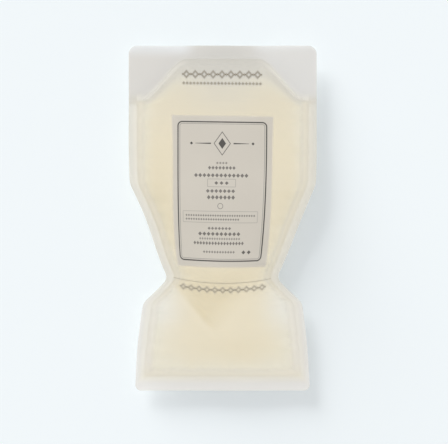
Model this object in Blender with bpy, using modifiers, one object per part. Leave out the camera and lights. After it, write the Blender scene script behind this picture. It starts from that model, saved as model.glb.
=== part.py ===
# Refill pouch for a liquid cleanser: an hourglass bag of two film panels, with a folded gusset
# welded into its wide end. It is full and sealed, and it lies on its back panel.
# X runs across the pouch, Y from the skirt end to the gusset end, and Z up from the table.
# All sizes are in metres.

import math

import bmesh
import bpy
import numpy as np

# Outline that the panels are cut to. Places along the pouch are measured from the skirt end.
LENGTH = 0.262
BODY_WIDTH = 0.1426
SHOULDER_AT = 0.157
SHOULDER_RADIUS = 0.016
WAIST_WIDTH = 0.0848
WAIST_AT = 0.0855
WAIST_RADIUS = 0.007
SKIRT_TOP_WIDTH = 0.1205
SKIRT_TOP_BELOW_WAIST = 0.0185
SKIRT_TOP_RADIUS = 0.009
SKIRT_END_WIDTH = 0.1325
SKIRT_CORNER_RADIUS = 0.004
GUSSET_CORNER_RADIUS = 0.0065

# Film and welds. The gap keeps webs that touch apart, so that each is its own solid.
FILM = 0.00015
GAP = 0.0003
SIDE_SEAL = 0.006
SKIRT_SEAL = 0.0105

# Gusset: a web folded in two, welded to the panels outside an arch with a level crown.
GUSSET_DEPTH = 0.044
GUSSET_SEAL = 0.010
ARCH_CROWN_WIDTH = 0.054
ARCH_FOOT_INSET = 0.0015
ARCH_FOOT_RISE = 0.003
LIP_SPREAD = 0.004

# Heights of the filled bag: the side seam above the table, and the front panel above the seam.
SEAM_AT_SKIRT = 0.0090
SEAM_AT_WAIST = 0.0110
SEAM_AT_BODY = 0.0140
SEAM_AT_GUSSET = 0.0100
RISE_AT_SKIRT_END = 0.0105
RISE_AT_SKIRT_TOP = 0.0120
RISE_AT_WAIST = 0.0165
RISE_AT_BODY = 0.0215
RISE_AT_GUSSET = 0.0175

# Roundness of the filled bag. A higher bulge is flatter on top and steeper at its edge.
BULGE_ACROSS = 2.1
EDGE_ROUNDING = 0.85
END_ROUNDING = 0.95
SKIRT_END_REACH = 0.032
GUSSET_END_REACH = 0.030
FULLNESS_AT_FOLD = 0.65
RESTING_SHARE = 0.35
MOST_STEEPNESS = 2.2
LEAST_FILL = 0.0001

# Dent where the skirt's slack film buckles below the waist: a triangle that points down the skirt.
DENT_DEPTH = 0.0034
DENT_LENGTH = 0.032
DENT_WIDTH = 0.064
DENT_BASE_BELOW_WAIST = 0.0075
DENT_FADE = 0.019
DENT_TIP_OFFSET = -0.005

# Printed panel on the front, and how near it comes to the weld where the bag is narrow.
PRINT_WIDTH = 0.0784
PRINT_HEIGHT = 0.1155
PRINT_BELOW_FOLD = 0.009
PRINT_SHARE_OF_WIDTH = 0.86

# Mesh pitches.
ROW_PITCH = 0.0085
SHORTEST_ROW = 0.0018
ARC_STEP = math.radians(30)
PRINT_CELLS = 4
FLANK_CELLS = 4
FLANK_CROWDING = 1.6
TONGUE_STEPS = (0.30, 0.58, 0.80, 0.93, 1.0)
LIP_CELLS = 3

# Places along Y that follow from the sizes above. The origin is at the middle of the length.
SKIRT_END = -LENGTH / 2
GUSSET_END = LENGTH / 2
SKIRT_WELD = SKIRT_END + SKIRT_SEAL
WAIST = SKIRT_END + WAIST_AT
SKIRT_TOP = WAIST - SKIRT_TOP_BELOW_WAIST
SHOULDER = SKIRT_END + SHOULDER_AT
FOLD = GUSSET_END - GUSSET_DEPTH
BEFORE_FOLD = FOLD - 2 * GAP
ARCH_FOOT = FOLD + ARCH_FOOT_RISE
PRINT_TOP = FOLD - PRINT_BELOW_FOLD
PRINT_BOTTOM = PRINT_TOP - PRINT_HEIGHT


def fillet(corner, before, after, radius):
    """Points of the arc that rounds a corner between its two neighbours."""
    corner, before, after = (np.array(place, float) for place in (corner, before, after))
    to_before = (before - corner) / np.linalg.norm(before - corner)
    to_after = (after - corner) / np.linalg.norm(after - corner)
    half_angle = math.acos(to_before @ to_after) / 2
    bisector = (to_before + to_after) / np.linalg.norm(to_before + to_after)
    centre = corner + bisector * radius / math.sin(half_angle)
    first = corner + to_before * radius / math.tan(half_angle) - centre
    last = corner + to_after * radius / math.tan(half_angle) - centre
    turn = math.pi - 2 * half_angle
    steps = math.ceil(turn / ARC_STEP)
    angles = [turn * step / steps for step in range(steps + 1)]
    return [centre + (math.sin(turn - a) * first + math.sin(a) * last) / math.sin(turn) for a in angles]


def right_outline():
    """The cut edge on the +X side, from the skirt end to the gusset end."""
    corners = [
        (SKIRT_END_WIDTH / 2, SKIRT_END, SKIRT_CORNER_RADIUS),
        (SKIRT_TOP_WIDTH / 2, SKIRT_TOP, SKIRT_TOP_RADIUS),
        (WAIST_WIDTH / 2, WAIST, WAIST_RADIUS),
        (BODY_WIDTH / 2, SHOULDER, SHOULDER_RADIUS),
        (BODY_WIDTH / 2, GUSSET_END, GUSSET_CORNER_RADIUS),
    ]
    places = [(0, SKIRT_END)] + [corner[:2] for corner in corners] + [(0, GUSSET_END)]
    edge = []
    for n, (x, y, radius) in enumerate(corners):
        edge += fillet((x, y), places[n], places[n + 2], radius)
    return np.array(edge)


OUTLINE = right_outline()


def half_width(y):
    """From the middle line to the cut edge."""
    return np.interp(y, OUTLINE[:, 1], OUTLINE[:, 0])


def ease(t):
    """0 to 1 with a level start and end."""
    t = np.clip(t, 0, 1)
    return t * t * (3 - 2 * t)


def eased_along(y, stations):
    """A height along the pouch that passes smoothly through (y, height) stations."""
    places, heights = (np.array(values) for values in zip(*stations))
    n = np.clip(np.searchsorted(places, y, side="right") - 1, 0, len(places) - 2)
    share = ease((y - places[n]) / (places[n + 1] - places[n]))
    return heights[n] * (1 - share) + heights[n + 1] * share


def rounded(t, power):
    """0 to 1 like a quarter circle: steep at 0, level at 1."""
    return (1 - (1 - np.clip(t, 0, 1)) ** 2) ** power


def arch(x):
    """Y of the gusset weld's inner edge: level over the crown, then down each leg to its foot."""
    crown, foot = ARCH_CROWN_WIDTH / 2, BODY_WIDTH / 2 - SIDE_SEAL - ARCH_FOOT_INSET
    top = GUSSET_END - GUSSET_SEAL
    return top - (top - ARCH_FOOT) * ease((abs(x) - crown) / (foot - crown))


def body_rows():
    """Y of the straight rows, from the skirt end to just short of the gusset's fold."""
    named = [SKIRT_END, SKIRT_WELD, SKIRT_WELD + 2 * SHORTEST_ROW, PRINT_BOTTOM, PRINT_TOP, BEFORE_FOLD]
    for y in OUTLINE[:, 1]:
        in_corner = SKIRT_END < y <= SKIRT_END + SKIRT_CORNER_RADIUS
        clear = all(abs(y - other) > SHORTEST_ROW for other in named)
        if in_corner or (clear and y < BEFORE_FOLD):
            named.append(y)
    named.sort()
    rows = [SKIRT_END]
    for start, end in zip(named, named[1:]):
        cells = math.ceil((end - start) / ROW_PITCH)
        rows += [start + (end - start) * n / cells for n in range(1, cells + 1)]
    return rows


def lip_steps():
    """Shares of the way from the arch to the gusset end, close together round the cut corner."""
    span = GUSSET_END - ARCH_FOOT
    bends = [GUSSET_CORNER_RADIUS * (1 - math.cos(angle)) / span for angle in np.radians([90, 60, 30, 0])]
    straight = 1 - bends[0]
    return [straight * n / LIP_CELLS for n in range(1, LIP_CELLS)] + [1 - bend for bend in bends]


def column_x(place, y):
    """X of a column line. Its place is 0 in the middle, +-1 at the print's edge, +-2 at the weld
    and +-3 at the cut edge."""
    edge = half_width(y)
    weld = edge - SIDE_SEAL
    print_edge = min(PRINT_WIDTH / 2, weld * PRINT_SHARE_OF_WIDTH)
    out = abs(place)
    if out <= 1:
        x = out * print_edge
    elif out <= 2:
        x = print_edge + (1 - (2 - out) ** FLANK_CROWDING) * (weld - print_edge)
    else:
        x = edge
    return math.copysign(x, place)


class Lay:
    """The grid of points in plan that every web shares, and each web's height over it.

    Grids are indexed [column, row]. Columns run from -X to +X and rows from the skirt end to the
    gusset end. Past the fold the rows bend to follow the arch.
    """

    def __init__(self):
        right = [n / PRINT_CELLS for n in range(1, PRINT_CELLS + 1)]
        right += [1 + n / FLANK_CELLS for n in range(1, FLANK_CELLS + 1)] + [3]
        places = [-place for place in reversed(right)] + [0] + right
        straight = body_rows()
        self.first_filled_row = straight.index(SKIRT_WELD) + 1
        self.print_rows = range(straight.index(PRINT_BOTTOM), straight.index(PRINT_TOP))
        self.print_columns = range(len(places) // 2 - PRINT_CELLS, len(places) // 2 + PRINT_CELLS)
        self.fold_row = len(straight)
        self.arch_row = self.fold_row + len(TONGUE_STEPS)
        plan = []
        for place in places:
            crest = arch(column_x(place, FOLD))
            rows = straight + [FOLD]
            rows += [FOLD + step * (crest - FOLD) for step in TONGUE_STEPS]
            rows += [crest + step * (GUSSET_END - crest) for step in lip_steps()]
            plan.append([(column_x(place, y), y) for y in rows])
        self.x, self.y = np.moveaxis(np.array(plan), -1, 0)
        self.set_heights()

    def set_heights(self):
        """Heights of the panels' inner faces, the gusset's inner faces and the fill."""
        across = np.clip(abs(self.x) / (half_width(self.y) - SIDE_SEAL), 0, 1)
        seam = eased_along(self.y, [
            (SKIRT_WELD, SEAM_AT_SKIRT),
            (WAIST, SEAM_AT_WAIST),
            (SHOULDER, SEAM_AT_BODY),
            (GUSSET_END, SEAM_AT_GUSSET),
        ])
        rise = eased_along(self.y, [
            (SKIRT_WELD, RISE_AT_SKIRT_END),
            (SKIRT_TOP, RISE_AT_SKIRT_TOP),
            (WAIST + WAIST_RADIUS, RISE_AT_WAIST),
            (SHOULDER, RISE_AT_BODY),
            (GUSSET_END, RISE_AT_GUSSET),
        ])
        ends = rounded((self.y - SKIRT_WELD) / SKIRT_END_REACH, 1) * rounded(self.to_arch(), 1)
        fullness = (1 - across**BULGE_ACROSS) ** EDGE_ROUNDING * ends**END_ROUNDING
        off_rest = np.clip((across - RESTING_SHARE) / (1 - RESTING_SHARE), 0, 1)
        back_fullness = (1 - off_rest**BULGE_ACROSS) ** EDGE_ROUNDING * ends ** (END_ROUNDING / 2)

        # The gusset's two leaves lie at the seam's level and spread a little at the lips.
        spread = LIP_SPREAD / 2 * (1 - (self.x / (BODY_WIDTH / 2)) ** 2)
        pleat = GAP / 2 + spread * ease((self.y - FOLD) / GUSSET_DEPTH)
        beyond_fold = np.arange(self.x.shape[1]) >= self.fold_row
        stack = np.where(beyond_fold, pleat + FILM + GAP, GAP / 2)
        self.leaves = seam + pleat, seam - pleat
        self.front = seam + np.maximum(GAP / 2 + rise * fullness, stack) - self.dent() * fullness
        self.back = seam - np.maximum(GAP / 2 + (seam - GAP / 2 - FILM) * back_fullness, stack)
        self.fill_top = self.front - GAP * self.steepness(self.front)
        self.fill_bottom = self.back + GAP * self.steepness(self.back)
        self.tongue_top = self.leaves[0] + FILM + GAP
        self.tongue_bottom = self.leaves[1] - FILM - GAP

        # Over and under the gusset the fill keeps a least depth, and the panels clear it.
        inside = (slice(2, -2), slice(self.fold_row, self.arch_row))
        self.fill_top[inside] = np.maximum(self.fill_top, self.tongue_top + LEAST_FILL)[inside]
        self.front[inside] = np.maximum(self.front, self.fill_top + GAP)[inside]
        self.fill_bottom[inside] = np.minimum(self.fill_bottom, self.tongue_bottom - LEAST_FILL)[inside]
        self.back[inside] = np.minimum(self.back, self.fill_bottom - GAP)[inside]

    def to_arch(self):
        """Falls from 1 in the body to 0 at the arch, where the two panels meet the gusset."""
        before = FULLNESS_AT_FOLD + (1 - FULLNESS_AT_FOLD) * (FOLD - self.y) / GUSSET_END_REACH
        rows = self.y.shape[1]
        steps = np.ones(rows)
        steps[: self.fold_row + 1] = 0
        steps[self.fold_row + 1 : self.arch_row + 1] = TONGUE_STEPS
        beyond = FULLNESS_AT_FOLD * (1 - steps) * np.ones_like(self.y)
        return np.where(np.arange(rows) >= self.fold_row, beyond, before)

    def dent(self):
        """Depth of the buckle in the skirt's front."""
        from_tip = self.y - (WAIST - DENT_BASE_BELOW_WAIST - DENT_LENGTH)
        opened = np.clip(from_tip / DENT_LENGTH, 0.01, 1)
        from_middle = self.x - DENT_TIP_OFFSET * (1 - opened)
        inside = np.clip(1 - (from_middle / (opened * DENT_WIDTH / 2)) ** 2, 0, 1)
        along = np.clip(from_tip / (DENT_LENGTH + DENT_FADE), 0, 1)
        return DENT_DEPTH * inside * np.sin(math.pi * along)

    def steepness(self, z):
        """How much taller an offset must be upright to keep its size square to a web."""
        points = self.web(z)
        normal = np.cross(np.gradient(points, axis=0), np.gradient(points, axis=1))
        return np.minimum(np.linalg.norm(normal, axis=-1) / abs(normal[..., 2]), MOST_STEEPNESS)

    def web(self, z, rows=slice(None)):
        """A grid of 3-D points from a grid of heights."""
        return np.stack([self.x, self.y, z], axis=-1)[:, rows]


def plain_material(name, colour, roughness, alpha=1.0):
    material = bpy.data.materials.new(name)
    material.use_nodes = True
    shader = material.node_tree.nodes["Principled BSDF"]
    shader.inputs["Base Color"].default_value = (*colour, 1)
    shader.inputs["Roughness"].default_value = roughness
    shader.inputs["Metallic"].default_value = 0
    shader.inputs["Alpha"].default_value = alpha
    return material


def fold_alike(face):
    """Split a four-sided face along the diagonal to its outermost corner. The webs share one plan
    grid, so the same split on each keeps the gap between them."""
    corners = list(face.verts)
    if len(corners) == 4:
        outermost = max(range(4), key=lambda n: abs(corners[n].co.x) + 3 * corners[n].co.y)
        bmesh.utils.face_split(face, corners[outermost], corners[outermost - 2])


def finished(name, shape, materials, collection):
    """Store a modelled shape as an object with its materials."""
    for face in list(shape.faces):
        fold_alike(face)
    mesh = bpy.data.meshes.new(name)
    shape.to_mesh(mesh)
    shape.free()
    for material in materials:
        mesh.materials.append(material)
    mesh.shade_smooth()
    mesh.set_sharp_from_angle(angle=math.radians(50))
    solid = bpy.data.objects.new(name, mesh)
    collection.objects.link(solid)
    return solid


def film_web(name, points, outside_up, materials, collection, printed=None):
    """A web of film: a grid laid over points [column, row], thickened to its outer side."""
    columns, rows = points.shape[:2]
    sheet = bmesh.new()
    bmesh.ops.create_grid(sheet, x_segments=columns - 1, y_segments=rows - 1, size=LENGTH / 2)
    for vert, place in zip(sheet.verts, points.transpose(1, 0, 2).reshape(-1, 3)):
        vert.co = place
    for n, face in enumerate(sheet.faces):
        if printed and n % (columns - 1) in printed[0] and n // (columns - 1) in printed[1]:
            face.material_index = 1
    if not outside_up:
        bmesh.ops.reverse_faces(sheet, faces=sheet.faces)
    web = finished(name, sheet, materials, collection)
    thickness = web.modifiers.new("film", "SOLIDIFY")
    thickness.thickness = FILM
    thickness.offset = 1
    return web


def gusset(lay, film, collection):
    """The folded web: a grid from the upper lip in to the fold and back out to the lower lip."""
    beyond_fold = slice(lay.fold_row, None)
    upper, lower = (lay.web(leaf, beyond_fold) for leaf in lay.leaves)
    return film_web("gusset", np.concatenate([lower[:, ::-1], upper], axis=1), True, [film], collection)


def strip(one_side, other_side):
    """Faces between two like rows of point numbers."""
    return list(zip(one_side, one_side[1:], other_side[1:], other_side))


def cleanser(lay, cream, collection):
    """The fill: a loft of loops within the welds, which reach over and under the gusset."""
    filled, tongue = slice(lay.first_filled_row, lay.arch_row), slice(lay.fold_row - 1, lay.arch_row)
    loops = np.concatenate([
        lay.web(lay.fill_top, filled),
        lay.web(lay.tongue_top, tongue)[:, ::-1],
        lay.web(lay.tongue_bottom, tongue),
        lay.web(lay.fill_bottom, filled)[:, ::-1],
    ], axis=1)[2:-2]
    count, size = loops.shape[:2]
    shape = bmesh.new()
    verts = [shape.verts.new(place) for place in loops.reshape(-1, 3)]
    long, short = filled.stop - filled.start, tongue.stop - tongue.start
    top, over, under, bottom = np.split(np.arange(size), [long, long + short, long + 2 * short])
    over, bottom, step = over[::-1], bottom[::-1], long - short
    ends = strip(top[: step], bottom[: step])
    ends.append((top[step - 1], top[step], over[0], under[0], bottom[step], bottom[step - 1]))
    ends += strip(top[step:], over) + strip(under, bottom[step:])
    around = list(range(size)) + [0]
    faces = [face for n in range(count - 1) for face in strip(
        [n * size + k for k in around], [(n + 1) * size + k for k in around])]
    faces += ends + [tuple((count - 1) * size + k for k in face) for face in ends]
    for face in faces:
        shape.faces.new([verts[k] for k in face])
    bmesh.ops.recalc_face_normals(shape, faces=shape.faces)
    return finished("cleanser", shape, [cream], collection)


def main():
    for old in list(bpy.data.objects):
        bpy.data.objects.remove(old, do_unlink=True)
    pouch = bpy.data.collections.new("refill_pouch")
    bpy.context.scene.collection.children.link(pouch)
    film = plain_material("frosted_film", (0.80, 0.79, 0.76), 0.45, 0.55)
    ink = plain_material("grey_ink_panel", (0.64, 0.61, 0.57), 0.5)
    cream = plain_material("cream_cleanser", (0.80, 0.70, 0.49), 0.35)
    lay = Lay()
    printed = lay.print_columns, lay.print_rows
    film_web("front_panel", lay.web(lay.front), True, [film, ink], pouch, printed)
    film_web("back_panel", lay.web(lay.back), False, [film], pouch)
    gusset(lay, film, pouch)
    cleanser(lay, cream, pouch)


main()
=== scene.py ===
import math

import bpy
import numpy as np
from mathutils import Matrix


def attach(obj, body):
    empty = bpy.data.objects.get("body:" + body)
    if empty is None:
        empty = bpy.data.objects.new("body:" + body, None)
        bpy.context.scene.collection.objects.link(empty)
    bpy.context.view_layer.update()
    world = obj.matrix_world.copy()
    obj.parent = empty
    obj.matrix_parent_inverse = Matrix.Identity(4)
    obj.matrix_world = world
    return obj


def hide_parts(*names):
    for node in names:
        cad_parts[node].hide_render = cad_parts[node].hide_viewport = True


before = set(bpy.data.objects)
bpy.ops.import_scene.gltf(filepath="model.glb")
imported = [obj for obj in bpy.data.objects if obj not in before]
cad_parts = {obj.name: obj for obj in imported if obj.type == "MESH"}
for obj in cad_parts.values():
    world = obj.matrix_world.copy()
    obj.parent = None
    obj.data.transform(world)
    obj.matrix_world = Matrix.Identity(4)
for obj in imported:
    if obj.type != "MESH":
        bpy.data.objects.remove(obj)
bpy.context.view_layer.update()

# A full refill pouch lying on its back: two panels of frosted film cut to an hourglass, a folded
# gusset welded into the wide end, and the liquid that fills it. Metres throughout, except that
# everything on the print is in millimetres.

pouch = {
    "length": 0.262,
    "bodyWidth": 0.1426,
    "shoulderAt": 0.157,  # places along the pouch are counted from the skirt end
    "shoulderRadius": 0.016,
    "waistWidth": 0.0848,
    "waistAt": 0.0855,
    "waistRadius": 0.007,
    "skirtTopWidth": 0.1205,
    "skirtTopBelowWaist": 0.0185,
    "skirtTopRadius": 0.009,
    "skirtEndWidth": 0.1325,
    "skirtCornerRadius": 0.004,
    "gussetCornerRadius": 0.0065,
    "film": 0.00015,
    "gap": 0.0003,
    "sideSeal": 0.006,
    "skirtSeal": 0.0105,
    "gussetDepth": 0.044,
    "gussetSeal": 0.010,
    "archCrownWidth": 0.054,
    "archFootInset": 0.0015,
    "archFootRise": 0.003,
    "lipSpread": 0.004,
    "labelHalfWidth": 0.0392,
    "labelShare": 0.86,
}

grid = {
    "rowPitch": 0.0012,
    "weldRow": 0.0006,
    "labelCells": 34,
    "flankCells": 20,
    "sealCells": 5,
    "flankCrowding": 1.6,
    "tongueCells": 24,
    "tongueCrowding": 1.7,
    "lipCells": 14,
    "lipCornerCells": 9,
    "arcStep": math.radians(9),
    "bakeMargin": 1.02,
}

bulge = {
    # height of the seam at the skirt weld, waist, shoulder and gusset end
    "seam": (0.0090, 0.0110, 0.0140, 0.0100),
    # rise of the front over it at the skirt weld, skirt top, above the waist, shoulder and gusset end
    "rise": (0.0105, 0.0120, 0.0165, 0.0215, 0.0175),
    "across": 2.1,
    "edgeRounding": 0.85,
    "endRounding": 0.95,
    "skirtReach": 0.032,
    "gussetReach": 0.030,
    "atFold": 0.65,
    "restingShare": 0.35,
    "mostSteepness": 2.2,
    "toe": 0.0022,
    "archToeStretch": 1.7,
    "backPuckersUpTo": 0.9,
    "leastFill": 0.00004,
    "leastFillOverTongue": 0.0001,
    "leastGapShare": 0.6,
}

edgePulls = {
    "ease": 0.014,
    "places": [  # side, start across, middle along, half length, shift across
        (-1, 0.036, 0.003, 0.026, 0.0024),
        (1, 0.036, 0.0, 0.035, -0.0011),
        (-1, 0.030, -0.052, 0.012, 0.0010),
        (-1, 0.046, -0.098, 0.028, -0.0016),
        (1, 0.046, -0.098, 0.028, 0.0010),
        (1, 0.030, -0.046, 0.014, -0.0012),
    ],
}

creases = {  # a span is where a change starts and how long it takes
    "dentDepth": 0.0029,
    "dentTip": (-0.0030, -0.0920),
    "dentLeft": (-0.0363, -0.0543),
    "dentRight": (0.0299, -0.0528),
    "dentLeftEase": 0.008,
    "dentRightEase": 0.020,
    "dentLength": 0.057,
    "dentSwell": 0.6,
    "dentRidge": 0.0005,
    "ridgeAt": 0.003,
    "ridgeWidth": 0.003,
    "shoulderCrease": ((-0.0663, 0.0277), (-0.0471, 0.0122)),
    "shoulderDepth": 0.0007,
    "shoulderWidth": 0.006,
    "puckerHeight": 0.00028,
    "puckerReach": 0.006,
    "puckerSlant": 40,
    "finePuckers": 0.6,
    "fineSkirtPuckers": 0.5,
    "morePuckersAtWaist": 1.2,
    "waistReach": 0.020,
    "lipCurl": 0.0022,
    "lipWave": 0.0006,
    "curlPower": 3,
    "skirtDroop": 0.0010,
    "skirtWave": 0.0005,
    "droopSpan": (-0.012, 0.022),
    "sealWave": 0.0004,
    "sealSpan": (0.80, 0.20),
    "sealPhase": 0.9,
}

waves = {  # length and phase
    "sidePuckers": (0.0171, 0.7),
    "fineSidePuckers": (0.0107, 0.0),
    "skirtPuckers": (0.0233, 1.9),
    "fineSkirtPuckers": (0.0131, 0.0),
    "lip": (0.061, 2.4),
    "skirt": (0.073, 0.5),
    "seals": (0.047, 0.0),
}

tint = {  # where the film looks whiter, greyer or more golden, some of it painted light and shade, with spans as in the creases
    "weldedSpan": (0.90, 0.10),
    "besideGussetSpan": (-0.004, 0.010),
    "slackHalfWidth": 0.070,
    "slackReach": 0.040,
    "slackReachAtLegs": 0.008,
    "slackAtArch": 0.72,
    "slackGrowth": 0.009,
    "slackAtSides": 0.68,
    "slackInMiddle": 0.92,
    # painted shade over the crown above the label
    "crownSlackAndShade": 0.50,
    "crownSlackAndShadeEnd": 0.060,
    # painted shade on the lip, strongest in its middle
    "lipAtSides": 0.15,
    "lipPower": 1.5,
    "lipLossOnRight": 0.8,
    "lipLossSpan": (0.020, 0.035),
    "glowOutward": 0.0065,
    "glowInward": 0.0075,
    "toeAt": 0.0024,
    "toeHalfWidth": 0.0034,
    "warmToeSpan": (-0.0015, 0.014),
    "fillStartSpan": (-0.010, 0.030),
    "fillEndSpan": (-0.004, 0.012),
    "coolEndReach": 0.011,
    "coolEndSpan": (0.018, 0.015),
    "coolEndLossOnRight": 0.4,
    "rightLip": 0.35,
    "rightLipSpan": (0.018, 0.020),
    "pastArchSpan": (-0.002, 0.004),
    "archEdgeAt": 0.0029,
    "archEdgeShift": 0.0018,
    "archShiftSpan": (0.036, 0.018),
    "archEdgeHalfWidth": 0.0032,
    "archEdgeAtCrown": 0.30,
    "archLegSpan": (0.022, 0.020),
    "archFootSpan": (-0.002, 0.003),
    "hiddenByGusset": 0.6,
    "hiddenByStep": 0.6,
    "milky": 0.85,
    "milkyAt": (0.018, -0.067),
    "milkyReach": (0.032, 0.016),
    "goldLeftEase": 0.004,
    "goldRightEase": 0.022,
    "goldTipShare": 0.10,
    "goldFadeSpan": (0.65, 0.35),
    "goldPatches": [  # middle, half size, strength
        ((-0.0485, 0.002), (0.015, 0.052), 0.68),
        ((0.0, -0.045), (0.034, 0.010), 0.6),
        ((0.050, 0.0), (0.012, 0.045), 0.3),
        ((0.012, -0.098), (0.014, 0.012), 0.2),
        ((0.0, 0.090), (0.044, 0.022), 0.22),
    ],
}

skirtEnd, gussetEnd = -pouch["length"] / 2, pouch["length"] / 2
skirtWeld = skirtEnd + pouch["skirtSeal"]
waist = skirtEnd + pouch["waistAt"]
skirtTop = waist - pouch["skirtTopBelowWaist"]
shoulder = skirtEnd + pouch["shoulderAt"]
fold = gussetEnd - pouch["gussetDepth"]
archFoot = fold + pouch["archFootRise"]
gap, filmThickness = pouch["gap"], pouch["film"]


def ease(t):  # 0 to 1 with a level start and end
    t = np.clip(t, 0, 1)
    return t * t * (3 - 2 * t)


def past(value, span):  # 0 before a span and 1 behind it
    start, length = span
    return ease((value - start) / length)


def rounded(t):  # 0 to 1 like a quarter circle
    return 1 - (1 - np.clip(t, 0, 1)) ** 2


def toed(t, reach):  # starts at 0 on a weld and soon reaches 1
    return 1 - np.exp(-np.maximum(t, 0) / reach)


def easedAlong(y, places, heights):  # passes smoothly through a height at each place
    places, heights = np.array(places), np.array(heights)
    n = np.clip(np.searchsorted(places, y, side="right") - 1, 0, len(places) - 2)
    share = ease((y - places[n]) / (places[n + 1] - places[n]))
    return heights[n] * (1 - share) + heights[n + 1] * share


def fillet(corner, before, after, radius):
    corner, before, after = (np.array(place, float) for place in (corner, before, after))
    toBefore = (before - corner) / np.linalg.norm(before - corner)
    toAfter = (after - corner) / np.linalg.norm(after - corner)
    halfAngle = math.acos(toBefore @ toAfter) / 2
    bisector = (toBefore + toAfter) / np.linalg.norm(toBefore + toAfter)
    centre = corner + bisector * radius / math.sin(halfAngle)
    first = corner + toBefore * radius / math.tan(halfAngle) - centre
    last = corner + toAfter * radius / math.tan(halfAngle) - centre
    turn = math.pi - 2 * halfAngle
    steps = math.ceil(turn / grid["arcStep"])
    angles = [turn * step / steps for step in range(steps + 1)]
    return [centre + (math.sin(turn - a) * first + math.sin(a) * last) / math.sin(turn) for a in angles]


def rightOutline():
    corners = [
        (pouch["skirtEndWidth"] / 2, skirtEnd, pouch["skirtCornerRadius"]),
        (pouch["skirtTopWidth"] / 2, skirtTop, pouch["skirtTopRadius"]),
        (pouch["waistWidth"] / 2, waist, pouch["waistRadius"]),
        (pouch["bodyWidth"] / 2, shoulder, pouch["shoulderRadius"]),
        (pouch["bodyWidth"] / 2, gussetEnd, pouch["gussetCornerRadius"]),
    ]
    places = [(0, skirtEnd)] + [corner[:2] for corner in corners] + [(0, gussetEnd)]
    edge = []
    for n, (x, y, radius) in enumerate(corners):
        edge += fillet((x, y), places[n], places[n + 2], radius)
    return np.array(edge)


outline = rightOutline()


def halfWidth(y):
    return np.interp(y, outline[:, 1], outline[:, 0])


def arch(x):  # the gusset weld's inner edge: a level crown and two curved legs
    crown = pouch["archCrownWidth"] / 2
    foot = pouch["bodyWidth"] / 2 - pouch["sideSeal"] - pouch["archFootInset"]
    top = gussetEnd - pouch["gussetSeal"]
    return top - (top - archFoot) * ease((abs(x) - crown) / (foot - crown))


def columnX(place, y):  # place is 0 in the middle, 1 at the label's edge, 2 at the weld, 3 at the cut
    edge = halfWidth(y)
    weld = edge - pouch["sideSeal"]
    labelEdge = np.minimum(pouch["labelHalfWidth"], weld * pouch["labelShare"])
    out = abs(place)
    flank = labelEdge + (1 - (2 - np.clip(out, 1, 2)) ** grid["flankCrowding"]) * (weld - labelEdge)
    x = np.where(out <= 1, out * labelEdge, np.where(out <= 2, flank, weld + (out - 2) * (edge - weld)))
    return np.sign(place) * x


def straightRows():
    radius = pouch["skirtCornerRadius"]
    angles = [n * grid["arcStep"] for n in range(round(math.pi / 2 / grid["arcStep"]) + 1)]
    named = [skirtEnd + radius * (1 - math.cos(angle)) for angle in angles]
    named += [skirtEnd + radius, skirtWeld, skirtWeld + grid["weldRow"], fold]
    rows = [skirtEnd]
    for start, end in zip(named, named[1:]):
        cells = max(1, round((end - start) / grid["rowPitch"]))
        rows += [start + (end - start) * n / cells for n in range(1, cells + 1)]
    return np.unique(np.round(rows, 7))


def layPlan():  # points in plan [column, row] that all the webs share
    right = [n / grid["labelCells"] for n in range(1, grid["labelCells"] + 1)]
    right += [1 + n / grid["flankCells"] for n in range(1, grid["flankCells"] + 1)]
    right += [2 + n / grid["sealCells"] for n in range(1, grid["sealCells"] + 1)]
    places = np.array([-place for place in reversed(right)] + [0] + right)
    straight = straightRows()
    tongueShares = np.arange(1, grid["tongueCells"] + 1) / grid["tongueCells"]
    tongueSteps = 1 - (1 - tongueShares) ** grid["tongueCrowding"]
    bend = pouch["gussetCornerRadius"] / (gussetEnd - archFoot)
    lipSteps = np.linspace(0, 1 - bend, grid["lipCells"] + 1)[1:]
    cornerAngles = np.linspace(math.pi / 2, 0, grid["lipCornerCells"] + 1)[1:]
    lipSteps = np.concatenate([lipSteps, 1 - bend * (1 - np.cos(cornerAngles))])
    columns = []
    for place in places:
        crest = arch(columnX(place, fold))
        beyond = fold + tongueSteps * (crest - fold)
        columns.append(np.concatenate([straight, beyond, crest + lipSteps * (gussetEnd - crest)]))
    y = np.array(columns)
    x = columnX(places[:, None], y)
    foldRow = len(straight) - 1
    steps = np.zeros(y.shape[1])
    steps[foldRow + 1:foldRow + 1 + len(tongueSteps)] = tongueSteps
    steps[foldRow + 1 + len(tongueSteps):] = 1
    return {
        "x": x,
        "y": y,
        "places": places,
        "foldRow": foldRow,
        "archRow": foldRow + len(tongueSteps),
        "filledRow": int(np.searchsorted(straight, skirtWeld + grid["weldRow"] / 2)),
        "tongueStep": steps,
    }


def dentSides(x, y):  # how far a place lies inside the two sides of the buckle below the waist
    tip, left, right = (np.array(creases[name]) for name in ("dentTip", "dentLeft", "dentRight"))
    leftWay, rightWay = left - tip, right - tip
    fromLeft = ((x - tip[0]) * leftWay[1] - (y - tip[1]) * leftWay[0]) / np.linalg.norm(leftWay)
    fromRight = ((y - tip[1]) * rightWay[0] - (x - tip[0]) * rightWay[1]) / np.linalg.norm(rightWay)
    return fromLeft, fromRight, np.clip((y - tip[1]) / creases["dentLength"], 0, 1)


def dentInside(x, y):  # 1 in the buckle's hollow, where painted shade goes on the liquid
    fromLeft, fromRight, along = dentSides(x, y)
    sides = ease(fromLeft / tint["goldLeftEase"]) * ease(fromRight / tint["goldRightEase"])
    return sides * ease(along / tint["goldTipShare"]) * (1 - past(along, tint["goldFadeSpan"]))


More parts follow.
